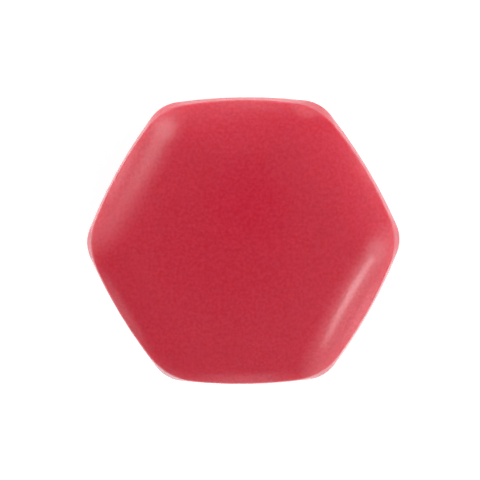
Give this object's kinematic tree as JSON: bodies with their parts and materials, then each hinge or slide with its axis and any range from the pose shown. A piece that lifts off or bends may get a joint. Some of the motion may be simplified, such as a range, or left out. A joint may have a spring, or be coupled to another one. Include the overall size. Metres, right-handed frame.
{
  "type": "snap fastener cap",
  "caption": "Hexagonal plastic snap fastener cap: shallow domed face, bevelled sides, hollow back and a pointed prong that fixes it through cloth.",
  "frame": {"origin": "on the prong's axis, in the plane of the back rim that bears on the cloth", "axes": "+Z out of the face, along the prong's axis and away from its point; +X through two opposite corners of the hexagon"},
  "size_m": [0.013, 0.012, 0.0064],
  "materials": {
    "red_plastic": "satin moulded red resin"
  },
  "bodies": {
    "root": {"snap_cap": "red_plastic"}
  },
  "joints": []
}
